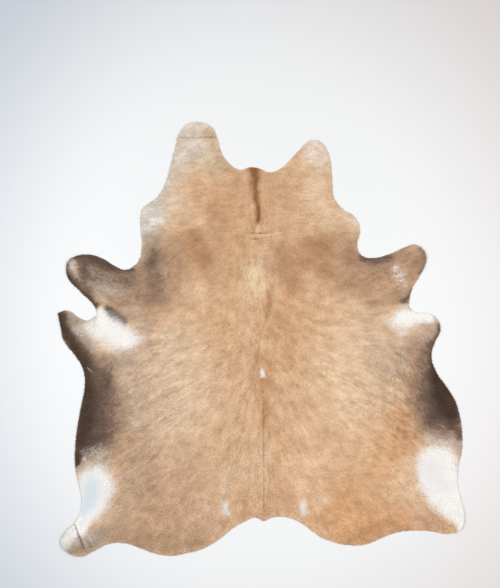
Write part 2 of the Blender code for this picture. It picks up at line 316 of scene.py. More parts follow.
# Where the coat is blotchy. Same columns
blotchMarks = [
    ("left fore shank", 1.0, 0.6, [(-900, 320, 70), (-760, 290, 90), (-600, 240, 100), (-520, 330, 80)]),
    ("left flank's edge", 1.0, 0.7, [(-760, -100, 80), (-730, -250, 90), (-730, -450, 80)]),
    ("left belly", 0.5, 0.8, [(-600, -60, 120), (-580, -300, 140), (-600, -600, 140)]),
    ("right flank's edge", 1.0, 0.7, [(740, -60, 70), (720, -220, 80), (740, -420, 80)]),
    ("right belly", 0.4, 0.8, [(560, -300, 120), (600, -500, 120)]),
    ("right fore shank", 0.7, 0.7, [(560, 330, 80), (720, 360, 90), (640, 220, 80)]),
]

# Which way the hair lies. Columns: x, y, heading in degrees from +X
hairGuides = [
    (-330, 1000, 195), (-380, 850, 185), (-450, 700, 170), (-540, 600, 165), (-200, 800, 185),
    (-160, 620, 180), (270, 950, -10), (310, 800, 0), (330, 650, 22), (440, 570, 28), (110, 800, -5),
    (140, 620, 5), (-28, 820, 268), (-20, 700, 268), (-10, 560, 262), (-10, 300, 268), (10, 60, 270),
    (12, -200, 270), (14, -420, 270), (14, -640, 270), (12, -860, 270), (-330, 450, 205),
    (-540, 400, 228), (-430, 240, 215), (-560, 150, 205), (-700, 290, 165), (-880, 330, 150),
    (-230, 200, 215), (-120, 100, 235), (-110, -200, 235), (-110, -500, 238), (-110, -780, 240),
    (-740, 40, 205), (-930, 40, 215), (-600, -100, 212), (-620, -300, 230), (-450, -150, 208),
    (-420, -380, 212), (-280, -100, 200), (-270, -400, 205), (-860, -230, 186), (-850, -430, 182),
    (-730, -450, 225), (-600, -620, 218), (-430, -650, 212), (-270, -700, 225), (-640, -860, 205),
    (-480, -950, 235), (-260, -930, 240), (-830, -740, 262), (-880, -900, 240), (-940, -1010, 225),
    (330, 450, -18), (520, 380, -12), (430, 240, -8), (620, 180, -8), (700, 320, 10), (790, 420, 35),
    (230, 200, -20), (130, 100, -50), (130, -200, -52), (130, -500, -52), (120, -780, -50), (330, 60, -8),
    (500, -80, -10), (320, -250, -12), (470, -330, -12), (600, -330, -24), (740, 90, 5), (860, 40, -30),
    (700, -60, -42), (730, -180, -62), (760, -310, -64), (860, -230, -30), (930, -400, -12),
    (800, -480, -40), (350, -600, -18), (560, -600, -14), (700, -600, -25), (380, -850, -40),
    (560, -900, -48), (760, -860, -35), (880, -640, -70), (940, -800, -76), (985, -920, -80),
    (980, -520, -20),
]

# Thin marks where the coat was folded, parted or scratched, with painted shade and painted highlights along
# them.
# Columns: name, x0, y0, x1, y1, half width, painted light (above 0 a painted highlight, below 0 painted
# shade), depth of the trough (below 0 a ridge)
creases = [
    ("parting along the spine", 13, -290, 15, -893, 2.6, -0.42, 1.0),
    ("back line, left", 8, -225, 9, -385, 3.0, -0.22, 0.3),
    ("back line, right", 29, -225, 30, -385, 3.0, -0.22, 0.3),
    ("left neck lobe fold", -418, 1008, -222, 1010, 3.2, -0.30, 1.6),
    ("left neck lobe fold's lip", -410, 998, -228, 1000, 5.0, 0.12, -0.8),
    ("right neck lobe fold", 222, 903, 322, 893, 5.0, -0.12, 0.6),
    ("neck wrinkle, left", -80, 534, 4, 533, 4.4, -0.11, 0.5),
    ("neck wrinkle, right", -12, 526, 48, 541, 4.0, -0.14, 0.5),
    ("neck wrinkle's lip", -48, 518, 48, 522, 3.2, 0.22, -0.5),
    ("long neck wrinkle", 40, 523, 120, 538, 2.6, 0.26, -0.6),
    ("long neck wrinkle's end", 120, 538, 195, 548, 2.2, 0.12, -0.3),
    ("lower neck wrinkle", -55, 500, -5, 503, 3.5, -0.25, 0.8),
    ("wrinkle at the withers", -20, 430, 55, 432, 4.0, 0.12, -0.4),
    ("right belly scratch", 478, -24, 612, -15, 2.8, 0.62, 0.5),
    ("right belly scratch's shade", 505, -34, 595, -31, 2.4, -0.22, 0.3),
    ("left thigh scratch, upper", -742, -618, -664, -552, 2.2, 0.34, 0.4),
    ("left thigh scratch, middle", -716, -654, -668, -612, 2.0, 0.30, 0.4),
    ("left thigh scratch, lower", -706, -692, -604, -628, 2.0, 0.32, 0.4),
    ("left thigh scratch, faint", -600, -618, -500, -592, 1.8, 0.12, 0.2),
    ("croup fold, across", -268, -713, -78, -711, 2.0, 0.16, 0.4),
    ("croup fold, along", -108, -640, -108, -712, 2.0, 0.20, 0.4),
    ("croup fold, upper", -106, -638, -28, -633, 1.8, 0.10, 0.3),
    ("croup fold, faint", -150, -648, -150, -706, 1.8, 0.08, 0.2),
    ("left flank scratch", -868, -140, -842, -166, 2.2, 0.45, 0.3),
    ("left hind shank fold", -932, -916, -886, -1046, 5.0, -0.24, 2.0),
    ("left hind shank fold's lip", -915, -916, -868, -1040, 6.0, 0.14, -1.0),
    ("left hind shank, second fold", -872, -958, -838, -1032, 4.0, 0.16, -0.6),
    ("right hind shank fold", 905, -905, 950, -935, 3.5, -0.12, 0.8),
]


# Maps over the whole hide, from which every piece reads its tones and its hair's lie

mapSizes = {
    "step": 3.0 * mm,
    "margin": 24.0 * mm,
    "wobble": 8.0 * mm,                      # how far the marks' edges wander
    "wobbleCells": (45.0 * mm, 14.0 * mm),
    "toneWobble": 26.0 * mm,                 # the same for the broad tones
    "toneWobbleCells": (130.0 * mm, 45.0 * mm),
    "fade": 1.8,                             # how steeply a stroke fades at softness 1
    "halvings": 6.6,                         # fading past this is not seen
    "narrow": 30,                            # tones under this many millimetres wander as marks do
    "guideReach": 40.0 * mm,                 # a hair guide rules this far about its place
    "guideFade": 1.8,
}


def linear(colour):
    shares = np.array(colour, float) / 255
    return np.where(shares <= 0.04045, shares / 12.92, ((shares + 0.055) / 1.055) ** 2.4)


def smoothStep(low, high, values):
    share = np.clip((values - low) / (high - low), 0, 1)
    return share * share * (3 - 2 * share)


def mix(first, second, share):
    return first * (1 - share) + second * share


# Smooth noise from 0 to 1 with bumps of about one cell. Its two grids are turned, so that neither shows
def softNoise(x, y, cell, seed):
    size, away = 256, 700                        # cells in the lattice, and how far off its middle we read
    lattice = np.random.default_rng(seed).random((2, size, size))
    total = 0.0
    for layer, turn in enumerate((0.55, 2.05)):
        column = (x * math.cos(turn) + y * math.sin(turn)) / cell + away + 31 * layer
        row = (y * math.cos(turn) - x * math.sin(turn)) / cell + away
        left, low = np.floor(column).astype(int), np.floor(row).astype(int)
        across, up = smoothStep(0, 1, column - left), smoothStep(0, 1, row - low)
        left, low = left % size, low % size
        right, high = (left + 1) % size, (low + 1) % size
        lower = mix(lattice[layer, low, left], lattice[layer, low, right], across)
        upper = mix(lattice[layer, high, left], lattice[layer, high, right], across)
        total = total + mix(lower, upper, up)
    return (total / 2 - 0.5) * 1.4 + 0.5


# A grid's value at any place, blended between its four nearest cells
def between(layer, column, row):
    column = np.clip(column, 0, layer.shape[1] - 1.001)
    row = np.clip(row, 0, layer.shape[0] - 1.001)
    left, low = column.astype(int), row.astype(int)
    across, up = column - left, row - low
    if layer.ndim == 3:
        across, up = across[:, None], up[:, None]
    lower = mix(layer[low, left], layer[low, left + 1], across)
    upper = mix(layer[low + 1, left], layer[low + 1, left + 1], across)
    return mix(lower, upper, up)


# Where places fall along a line, the same held between its ends, and how far they lie from it.
# The line's ends are in millimetres
def besideLine(x, y, x0, y0, x1, y1):
    x0, y0, x1, y1 = (v * mm for v in (x0, y0, x1, y1))
    span = max((x1 - x0) ** 2 + (y1 - y0) ** 2, 1e-12)
    along = ((x - x0) * (x1 - x0) + (y - y0) * (y1 - y0)) / span
    held = np.clip(along, 0, 1)
    return along, held, np.hypot(x - x0 - held * (x1 - x0), y - y0 - held * (y1 - y0))


# The coat's tones, marks and lie on one even grid over the hide
class HideMaps:

    def __init__(self, box):
        margin, self.step = mapSizes["margin"], mapSizes["step"]
        self.low = np.array([box[0].x - margin, box[0].y - margin])
        columns = int((box[1].x - box[0].x + 2 * margin) / self.step) + 2
        rows = int((box[1].y - box[0].y + 2 * margin) / self.step) + 2
        self.x, self.y = np.meshgrid(self.low[0] + self.step * np.arange(columns),
                                     self.low[1] + self.step * np.arange(rows))
        self.fine = self.warped(mapSizes["wobble"], mapSizes["wobbleCells"], 1)
        self.broad = self.warped(mapSizes["toneWobble"], mapSizes["toneWobbleCells"], 5)
        self.layers = {}

    # The grid's places, moved about a little so that edges drawn on them wander
    def warped(self, wander, cells, seed):
        moved = []
        for axis, places in enumerate((self.x, self.y)):
            wide = softNoise(self.x, self.y, cells[0], seed + 2 * axis) - 0.5
            fine = softNoise(self.x, self.y, cells[1], seed + 2 * axis + 1) - 0.5
            moved.append(places + wander * (2 * wide + fine))
        return moved

    # The rows and columns of cells that a line can reach
    def window(self, line, softness):
        widest = max(width for _x, _y, width in line) * mm
        reach = widest * mapSizes["halvings"] ** (softness / mapSizes["fade"]) + 4 * mapSizes["toneWobble"]
        bounds = []
        for axis in (1, 0):
            values = [point[axis] * mm for point in line]
            first = int((min(values) - reach - self.low[axis]) / self.step)
            last = int((max(values) + reach - self.low[axis]) / self.step) + 2
            bounds.append(slice(max(first, 0), max(last, 0)))
        return tuple(bounds)

    # A window of cells, with 1 inside a line of varying width, a half at its edge and 0 outside
    def stroke(self, line, softness, warp):
        window = self.window(line, softness)
        x, y = warp[0][window], warp[1][window]
        nearest = np.full(x.shape, 9.0)
        for (x0, y0, w0), (x1, y1, w1) in zip(line, line[1:] or line):
            _along, held, gap = besideLine(x, y, x0, y0, x1, y1)
            nearest = np.minimum(nearest, gap / (mix(w0, w1, held) * mm))
        return window, 0.5 ** (nearest ** (mapSizes["fade"] / softness))

    # How strongly these marks show together at each place
    def amount(self, marks):
        left = np.ones(self.x.shape)
        for _name, strength, softness, line in marks:
            window, share = self.stroke(line, softness, self.fine)
            left[window] *= 1 - strength * share
        return 1 - left

    # How strongly the plainest of these marks shows at each place
    def strongest(self, marks):
        best = np.zeros(self.x.shape)
        for _name, strength, softness, line in marks:
            window, share = self.stroke(line, softness, self.fine)
            best[window] = np.maximum(best[window], strength * share)
        return best

    # A layer's value at any place
    def read(self, name, x, y):
        return between(self.layers[name], (x - self.low[0]) / self.step, (y - self.low[1]) / self.step)


def blendTones(maps):
    seen = np.empty(maps.x.shape + (3,))
    seen[:] = palette["fawn"]
    for _name, colour, strength, softness, line in tones:
        narrow = max(width for _x, _y, width in line) < mapSizes["narrow"]
        window, share = maps.stroke(line, softness, maps.fine if narrow else maps.broad)
        seen[window] += (np.array(palette[colour]) - seen[window]) * (strength * share)[..., None]
    return linear(seen)


# The hair's direction everywhere, from the guides near each place
def blendLie(maps):
    lie = np.zeros(maps.x.shape + (2,))
    for x, y, heading in hairGuides:
        apart = (maps.x - x * mm) ** 2 + (maps.y - y * mm) ** 2 + mapSizes["guideReach"] ** 2
        near = 1 / apart ** mapSizes["guideFade"]
        lie[..., 0] += near * math.cos(math.radians(heading))
        lie[..., 1] += near * math.sin(math.radians(heading))
    return lie / np.linalg.norm(lie, axis=2, keepdims=True)


def makeMaps():
    maps = HideMaps(cadBox)
    maps.layers["tone"] = blendTones(maps)
    maps.layers["lie"] = blendLie(maps)
    for name, marks in (("dark", darkMarks), ("white", whiteMarks), ("blotch", blotchMarks)):
        maps.layers[name] = maps.amount(marks)
    for name, marks in (("speckle", speckledMarks), ("bare", bareMarks)):
        maps.layers[name] = maps.strongest(marks)
    print("maps made", maps.x.shape)
    return maps


# The skin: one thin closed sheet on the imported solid's folds

skinSizes = {
    "thickness": 2.5 * mm,
    "coatDepth": 2.0 * mm,          # the solid's top is the coat's top
    "pitch": 17.0 * mm,
    "weld": 0.05 * mm,
    "creaseEdge": 6.0 * mm,         # edges near a crease are cut down to about this
    "creaseReach": 12.0 * mm,
    "creaseSpread": 1.6,            # a trough is this much wider than its crease's half width
    "heightPitch": 9.0 * mm,
    "heightSmoothing": 6,
    "rimSpread": 10,                # cells that the rim's height spreads past the rim
    "undulation": 0.5 * mm,
    "waveCells": (90.0 * mm, 35.0 * mm),
    "leastHeight": 1.2 * mm,
    "shade": 0.86,                  # painted shade: the skin between the locks is painted this much darker than they are, for the shade that the locks cast on it
}


# How far each crease lowers the surface at these places, in metres
def creaseShape(x, y):
    drop = np.zeros(len(x))
    for _name, x0, y0, x1, y1, half, _light, depth in creases:
        along, _held, gap = besideLine(x, y, x0, y0, x1, y1)
        ends = smoothStep(-0.05, 0.15, along) * (1 - smoothStep(0.85, 1.05, along))
        drop += depth * mm * np.exp(-(gap / (half * mm * skinSizes["creaseSpread"])) ** 2) * ends
    return drop


# The solid's upper face alone
def coatTopSheet():
    work = bmesh.new()
    work.from_mesh(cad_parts["hide"].data)
    bmesh.ops.remove_doubles(work, verts=work.verts, dist=skinSizes["weld"])
    work.normal_update()
    unseen = [face for face in work.faces if face.normal.z < 0.5]
    bmesh.ops.delete(work, geom=unseen, context="FACES")
    return work


def boxMean(values):
    wide = np.pad(values, 1, mode="edge")
    rows = (wide[:-2] + wide[1:-1] + wide[2:]) / 3
    return (rows[:, :-2] + rows[:, 1:-1] + rows[:, 2:]) / 3


# Lays the solid's folds into the maps as one smooth height
def readHeights(work, maps):
    pitch = skinSizes["heightPitch"]
    columns = int(maps.x.shape[1] * maps.step / pitch) + 2
    rows = int(maps.x.shape[0] * maps.step / pitch) + 2
    tree = BVHTree.FromBMesh(work)
    heights = np.full((rows, columns), np.nan)
    for row in range(rows):
        for column in range(columns):
            start = (maps.low[0] + column * pitch, maps.low[1] + row * pitch, 1.0)
            hit = tree.ray_cast(start, (0.0, 0.0, -1.0))[0]
            if hit is not None:
                heights[row, column] = hit.z
    known = ~np.isnan(heights)
    heights[~known] = 0.0
    for _pass in range(skinSizes["rimSpread"]):
        share, total = boxMean(known.astype(float)), boxMean(heights * known)
        fresh = ~known & (share > 0)
        heights[fresh] = (total / np.maximum(share, 1e-9))[fresh]
        known |= fresh
    heights[~known] = heights[known].min()
    for _pass in range(skinSizes["heightSmoothing"]):
        heights = boxMean(heights)
    column, row = (maps.x - maps.low[0]) / pitch, (maps.y - maps.low[1]) / pitch
    maps.layers["height"] = between(heights, column, row)


# Height of the leather's own top under the coat, with its creases
def leatherTop(maps, x, y):
    wide, fine = skinSizes["waveCells"]
    wave = softNoise(x, y, wide, 11) + 0.5 * softNoise(x, y, fine, 12)
    height = maps.read("height", x, y) - skinSizes["coatDepth"] + skinSizes["undulation"] * wave
    return np.maximum(height - creaseShape(x, y), skinSizes["leastHeight"])


def triangulate(work):
    bmesh.ops.triangulate(work, faces=[face for face in work.faces if len(face.verts) > 3])


# Cuts the whole sheet along an even grid
def cutEvenly(work):
    pitch = skinSizes["pitch"]
    for axis in (0, 1):
        aim = Vector((axis == 0, axis == 1, 0))
        for step in range(1, int((cadBox[1][axis] - cadBox[0][axis]) / pitch) + 1):
            place = aim * (cadBox[0][axis] + step * pitch)
            bmesh.ops.bisect_plane(work, geom=[*work.verts, *work.edges, *work.faces], dist=0.1 * mm,
                                   plane_co=place, plane_no=aim)
    triangulate(work)


# Cuts the longer edges near a crease in two
def cutByCreases(work):
    long = [edge for edge in work.edges if edge.calc_length() > skinSizes["creaseEdge"]]
    middles = np.array([(edge.verts[0].co + edge.verts[1].co) / 2 for edge in long])
    near = np.zeros(len(long), bool)
    for _name, x0, y0, x1, y1, _half, _light, _depth in creases:
        near |= besideLine(middles[:, 0], middles[:, 1], x0, y0, x1, y1)[2] < skinSizes["creaseReach"]
    chosen = [edge for edge, wanted in zip(long, near) if wanted]
    bmesh.ops.subdivide_edges(work, edges=chosen, cuts=1, use_grid_fill=True)
    triangulate(work)


# The object's mesh with its modifiers applied, in its place
def finishedMesh(thing):
    evaluated = thing.evaluated_get(bpy.context.evaluated_depsgraph_get())
    mesh = bpy.data.meshes.new_from_object(evaluated)
    thing.modifiers.clear()
    thing.data = mesh
    return mesh


# One reading of each item as an array, with a row for each where it is wider than 1
def numbers(items, name, width=1, kind=np.float32):
    flat = np.zeros(len(items) * width, kind)
    items.foreach_get(name, flat)
    return flat.reshape(-1, width) if width > 1 else flat


# Stores three numbers at each point of a mesh
def addReading(mesh, name, values):
    layer = mesh.attributes.new(name, "FLOAT_VECTOR", "POINT")
    layer.data.foreach_set("vector", values.astype(np.float32).ravel())


def addUnwrap(mesh, places):
    layer = mesh.uv_layers.new(name="OFBake")
    layer.data.foreach_set("uv", places.astype(np.float32).ravel())


# Gives a mesh's points the coat's tone, marks, lie and shade at these places; shade is a lock's own tint, or
# painted shade on the skin between the locks
def paintPoints(mesh, maps, x, y, shade):
    lie = maps.read("lie", x, y)
    dark, white, bare, speckle, blotch = (maps.read(name, x, y)
                                          for name in ("dark", "white", "bare", "speckle", "blotch"))
    addReading(mesh, "tone", maps.read("tone", x, y))
    addReading(mesh, "marks", np.stack([dark, white, bare], axis=1))
    addReading(mesh, "lie", np.stack([lie[:, 0], lie[:, 1], np.zeros(len(x))], axis=1))
    addReading(mesh, "extra", np.stack([speckle, blotch, shade], axis=1))


def addObject(name, thing):
    holder = bpy.data.objects.new(name, thing)
    bpy.context.scene.collection.objects.link(holder)
    return holder


def makeSkin(maps, finishes):
    work = coatTopSheet()
    readHeights(work, maps)
    cutEvenly(work)
    for _pass in range(2):
        cutByCreases(work)
    places = np.array([vertex.co for vertex in work.verts])
    for vertex, height in zip(work.verts, leatherTop(maps, places[:, 0], places[:, 1])):
        vertex.co.z = float(height)
    mesh = bpy.data.meshes.new("skin")
    work.to_mesh(mesh)
    work.free()
    skin = addObject("skin", mesh)
    for finish in finishes:
        mesh.materials.append(finish)
    wall = skin.modifiers.new("leather", "SOLIDIFY")
    wall.thickness = skinSizes["thickness"]
    wall.offset = -1.0
    wall.material_offset = 1
    wall.material_offset_rim = 2
    mesh = finishedMesh(skin)
    spots = numbers(mesh.vertices, "co", 3)
    spots[:, 2] = np.maximum(spots[:, 2], 0.0)   # the flesh side lies on the floor
    mesh.vertices.foreach_set("co", spots.ravel())
    mesh.update()
    x, y = spots[:, 0].astype(float), spots[:, 1].astype(float)
    # the skin between the locks gets the painted shade
    paintPoints(mesh, maps, x, y, np.full(len(spots), skinSizes["shade"]))
    skinUnwrap(mesh)
    print("skin made", len(mesh.polygons), "faces")
    return skin


# Coat side on the left half of the square, flesh side and cut edge on the right half
def skinUnwrap(mesh):
    low, high = cadBox
    rim = 0.015
    spots = numbers(mesh.vertices, "co", 3)[numbers(mesh.loops, "vertex_index", kind=np.int32)]
    sides = numbers(mesh.polygons, "material_index", kind=np.int32)
    back = np.repeat(sides > 0, numbers(mesh.polygons, "loop_total", kind=np.int32))
    u = (spots[:, 0] - low.x) / (high.x - low.x) * (0.5 - 2 * rim) + rim + 0.5 * back
    v = (spots[:, 1] - low.y) / (high.y - low.y) * (1 - 2 * rim) + rim
    addUnwrap(mesh, np.stack([u, v], axis=1))


# The coat: short locks of hair, rooted on the skin and lying along the hair's direction

coatSizes = {
    "locks": 210000,
    "seed": 7,
    "length": 15.0 * mm,
    "width": 2.2 * mm,
    "ridge": 0.18 * mm,
    "lift": 0.52 * mm,
    "crest": 0.34,                  # where along a lock its ridge is highest
    "crestLift": 0.35,              # how much of the lift it has there
    "rootDepth": 0.3 * mm,
    "spread": 13.0,                 # degrees either side of the hair's lie
    "clumpTurn": 20.0,              # degrees that neighbours turn together
    "clumpCell": 16.0 * mm,
    "lengthCell": 50.0 * mm,
    "bareShorter": 0.55,
    "bareNarrower": 0.35,
    "bareFlatter": 0.1,
    "whiteFlatter": 0.88,
    "trim": 0.72,                   # what is left of a lock each time that it is trimmed at the rim
    "shadeSpread": 0.05,
    "bands": (-300.0 * mm, 360.0 * mm),      # between rump and belly, belly and shoulders
}


# Spreads values from 0 to 1 evenly about 1
def about(share, values):
    return 1 - share + 2 * share * values


# Every triangle's corners in plan, and the finish that it has
def planTriangles(mesh):
    mesh.calc_loop_triangles()
    tris = numbers(mesh.loop_triangles, "vertices", 3, np.int32)
    sides = numbers(mesh.loop_triangles, "material_index", kind=np.int32)
    return numbers(mesh.vertices, "co", 3)[tris][:, :, :2].astype(float), sides


# Even places over the skin's coat side
def rootPlaces(skin, count, random):
    corners, sides = planTriangles(skin.data)
    corners = corners[sides == 0]
    edges = corners[:, 1:] - corners[:, :1]
    reach = np.cumsum(np.abs(edges[:, 0, 0] * edges[:, 1, 1] - edges[:, 0, 1] * edges[:, 1, 0]))
    pick = np.searchsorted(reach, (np.arange(count) + random.random(count)) / count * reach[-1])
    first, second = random.random((2, count))
    over = first + second > 1
    first[over], second[over] = 1 - first[over], 1 - second[over]
    return corners[pick, 0] + edges[pick, 0] * first[:, None] + edges[pick, 1] * second[:, None]


# 1 where the maps' cells lie on the hide, or within one cell of it
def insideMask(skin, maps):
    corners, _sides = planTriangles(skin.data)
    inside = np.zeros(maps.x.shape)
    steps = 7                                    # a triangle is read this often along each side
    for first in range(steps + 1):
        for second in range(steps + 1 - first):
            spots = corners[:, 0] + (corners[:, 1] - corners[:, 0]) * (first / steps)
            spots += (corners[:, 2] - corners[:, 0]) * (second / steps)
            columns = np.rint((spots[:, 0] - maps.low[0]) / maps.step).astype(int)
            rows = np.rint((spots[:, 1] - maps.low[1]) / maps.step).astype(int)
            inside[rows, columns] = 1
    return (boxMean(inside) > 0).astype(float)


def makeCoat(skin, maps, finish):
    sizes = coatSizes
    count = sizes["locks"]
    random = np.random.default_rng(sizes["seed"])
    roots = rootPlaces(skin, count, random)
    x, y = roots[:, 0], roots[:, 1]
    lie = maps.read("lie", x, y)
    clump = softNoise(x, y, sizes["clumpCell"], 21) - 0.5
    turn = np.radians(sizes["spread"]) * random.normal(0, 0.6, count)
    turn += np.radians(sizes["clumpTurn"]) * clump
    heading = np.arctan2(lie[:, 1], lie[:, 0]) + turn
    forward = np.stack([np.cos(heading), np.sin(heading)], axis=1)
    sideways = np.stack([-forward[:, 1], forward[:, 0]], axis=1)
    bare = maps.read("bare", x, y)
    length = sizes["length"] * about(0.3, random.random(count)) * (1 - sizes["bareShorter"] * bare)
    length *= about(0.15, softNoise(x, y, sizes["lengthCell"], 22))
    for _pass in range(3):                       # locks that reach past the rim are trimmed back
        tips = roots + forward * length[:, None]
        outside = maps.read("inside", tips[:, 0], tips[:, 1]) < 0.5
        length[outside] *= sizes["trim"]
    width = sizes["width"] * about(0.25, random.random(count)) * (1 - sizes["bareNarrower"] * bare)
    ridge = sizes["ridge"] * about(0.3, random.random(count))
    lift = sizes["lift"] * about(0.5, random.random(count))
    lift *= about(0.15, softNoise(x, y, sizes["clumpCell"], 23))
    flatter = 1 - sizes["whiteFlatter"] * maps.read("white", x, y) - sizes["bareFlatter"] * bare
    lift *= flatter
    ridge *= flatter
    spots = np.zeros((count, 4, 3))
    spots[:, 0, :2] = roots + sideways * width[:, None] / 2
    spots[:, 1, :2] = roots - sideways * width[:, None] / 2
    spots[:, 2, :2] = roots + forward * (length * sizes["crest"])[:, None]
    spots[:, 3, :2] = roots + forward * length[:, None]
    crest = ridge + lift * sizes["crestLift"]
    for corner, above in enumerate((-sizes["rootDepth"], -sizes["rootDepth"], crest, lift)):
        spots[:, corner, 2] = leatherTop(maps, spots[:, corner, 0], spots[:, corner, 1]) + above
    shade = 1.0 + sizes["shadeSpread"] * random.normal(0, 1, count)
    band = np.digitize(y, sizes["bands"])
    group = np.where(band == 2, 4, band * 2 + (x > 0))
    names = ["coat_left_rump", "coat_right_rump", "coat_left_belly", "coat_right_belly", "coat_shoulders"]
    pieces = []
    for number, name in enumerate(names):
        chosen = group == number
        pieces.append(joinLocks(name, spots[chosen], x[chosen], y[chosen], shade[chosen], maps, finish))
    return pieces


# One mesh of many small closed locks, four faces each
def joinLocks(name, spots, x, y, shade, maps, finish):
    count = len(spots)
    sides = np.array([[0, 2, 3], [1, 3, 2], [0, 1, 2], [0, 3, 1]])
    corners = (np.arange(count)[:, None, None] * 4 + sides).reshape(-1)
    mesh = bpy.data.meshes.new(name)
    mesh.vertices.add(count * 4)
    mesh.vertices.foreach_set("co", spots.astype(np.float32).ravel())
    mesh.loops.add(len(corners))
    mesh.loops.foreach_set("vertex_index", corners.astype(np.int32))
    mesh.polygons.add(count * 4)
    mesh.polygons.foreach_set("loop_start", np.arange(0, len(corners), 3, dtype=np.int32))
    mesh.update(calc_edges=True)
    mesh.materials.append(finish)
    paintPoints(mesh, maps, np.repeat(x, 4), np.repeat(y, 4), np.repeat(shade, 4))
    flat = spots.reshape(-1, 3)[:, :2]
    low, high = flat.min(axis=0), flat.max(axis=0)
    rim = 0.01
    addUnwrap(mesh, (flat[corners] - low) / (high - low) * (1 - 2 * rim) + rim)
    print(name, count, "locks")
    return addObject(name, mesh)


# Finishes

lightShare = 0.93      # what the studio light leaves of a seen colour


# The finish's colour that looks like this palette entry in the studio light
def seenAs(name):
    return tuple(float(v) for v in linear(palette[name]) * lightShare) + (1.0,)


# A shader socket that can stand in an expression
class Wire:

    def __init__(self, tree, socket):
        self.tree = tree
        self.socket = socket

    # Adds a node, sets it up, feeds its inputs and gives the wanted output
    def node(self, kind, settings, inputs, output=0):
        made = self.tree.nodes.new(kind)
        for key, value in settings.items():
            if key == "stops":
                setStops(made.color_ramp, value)
            else:
                setattr(made, key, value)
        for key, value in inputs.items():
            if isinstance(value, Wire):
                self.tree.links.new(value.socket, made.inputs[key])
            else:
                made.inputs[key].default_value = value
        return Wire(self.tree, made.outputs[output])

    def maths(self, operation, first, second=0.0):
        return self.node("ShaderNodeMath", {"operation": operation}, {0: first, 1: second})

    def __add__(self, other):
        return self.maths("ADD", self, other)

    def __radd__(self, other):
        return self.maths("ADD", other, self)

    def __sub__(self, other):
        return self.maths("SUBTRACT", self, other)

    def __rsub__(self, other):
        return self.maths("SUBTRACT", other, self)

    def __mul__(self, other):
        return self.maths("MULTIPLY", self, other)

    def __rmul__(self, other):
        return self.maths("MULTIPLY", other, self)

    def __truediv__(self, other):
        return self.maths("DIVIDE", self, other)

    def atLeast(self, other):
        return self.maths("MAXIMUM", self, other)

    # 0 below low, 1 above high, smooth between
    def ease(self, low, high):
        return self.node("ShaderNodeMapRange", {"interpolation_type": "SMOOTHSTEP"},
                         {"Value": self, "From Min": low, "From Max": high})

    # Mixes two colours by this amount
    def blend(self, first, second):
        return self.node("ShaderNodeMix", {"data_type": "RGBA", "clamp_factor": True},
                         {"Factor": self, 6: first, 7: second}, output=2)

    # This colour, each channel multiplied by its own number
    def tinted(self, tint):
        return self.node("ShaderNodeVectorMath", {"operation": "MULTIPLY"}, {0: self, 1: tint})

    # A vector's three numbers
    def split(self):
        outputs = self.node("ShaderNodeSeparateXYZ", {}, {0: self}).socket.node.outputs
        return [Wire(self.tree, socket) for socket in outputs]

    # Noise from about 0.25 to 0.75, read at this position
    def grain(self, scale, detail=1.0, roughness=0.5):
        return self.node("ShaderNodeTexNoise", {}, {"Vector": self, "Scale": scale, "Detail": detail,
                                                    "Roughness": roughness})

    # This position, moved some way along a direction
    def along(self, direction, distance):
        return self.node("ShaderNodeVectorMath", {"operation": "MULTIPLY_ADD"},
                         {0: direction, 1: (distance,) * 3, 2: self})


def setStops(ramp, stops):
    while len(ramp.elements) < len(stops):
        ramp.elements.new(0.5)
    for element, (place, name) in zip(ramp.elements, stops):
        element.position = place
        element.color = seenAs(name)


def triple(first, second, third):
    return first.node("ShaderNodeCombineXYZ", {}, {0: first, 1: second, 2: third})


def reading(position, name):
    return position.node("ShaderNodeAttribute", {"attribute_name": name}, {}, output="Vector")


# A new finish, its shader and the position on the piece
def newFinish(name):
    material = bpy.data.materials.new(name)
    material.use_nodes = True
    tree = material.node_tree
    position = Wire(tree, None).node("ShaderNodeTexCoord", {}, {}, output="Object")
    return material, tree.nodes["Principled BSDF"], position


def setInputs(shader, values):
    for name, value in values.items():
        shader.inputs[name].default_value = value


# Feeds a shader's colour and roughness, and its normal from a height
def feedShader(shader, colour, roughness, height, bumpStrength, bumpDepth):
    bump = height.node("ShaderNodeBump", {}, {"Strength": bumpStrength, "Distance": bumpDepth,
                                              "Height": height})
    for name, wire in (("Base Color", colour), ("Roughness", roughness), ("Normal", bump)):
        wire.tree.links.new(wire.socket, shader.inputs[name])


# Noise about 0 drawn out along the hair: the mean of several readings along its lie
def smeared(position, lie, cells, stride, readings, detail):
    total = None
    for number in range(readings):
        distance = (number - (readings - 1) / 2) * stride
        value = position.along(lie, distance).grain(cells, detail)
        total = value if total is None else total + value
    return total / readings - 0.5


# How much painted highlight or painted shade the thin marks lay on the coat here
def creasePaintedLight(x, y):
    total = None
    for _name, x0, y0, x1, y1, half, light, _depth in creases:
        x0, y0, x1, y1, half = (v * mm for v in (x0, y0, x1, y1, half))
        span = math.hypot(x1 - x0, y1 - y0)
        alongX, alongY = (x1 - x0) / span, (y1 - y0) / span
        along = (x - x0) * alongX + (y - y0) * alongY
        offset = (y - y0) * alongX - (x - x0) * alongY
        across = offset.atLeast(offset * -1.0)
        body = 1 - across.ease(half * 0.35, half * 1.7)
        ends = along.ease(-0.1 * span, 0.12 * span) * (1 - along.ease(0.88 * span, 1.1 * span))
        mark = body * ends * light
        total = mark if total is None else total + mark
    return total


# Noise drawn out along the hair. Columns: cells to a metre, stride, readings, detail
hairGrains = {
    "hair": (330.0, 2.2 * mm, 4, 1.0),
    "streak": (150.0, 4.0 * mm, 5, 1.0),
    "cell": (62.0, 7.0 * mm, 3, 2.0),
    "mottle": (30.0, 12.0 * mm, 3, 2.0),
    "smoke": (84.0, 5.0 * mm, 2, 3.0),
}

# From the thinnest dark hair to the deepest. Columns: depth, colour
darkStops = [
    (0.0, "thinDark"),
    (0.28, "frayedDark"),
    (0.52, "halfDark"),
    (0.76, "fullDark"),
    (1.0, "deepDark"),
]

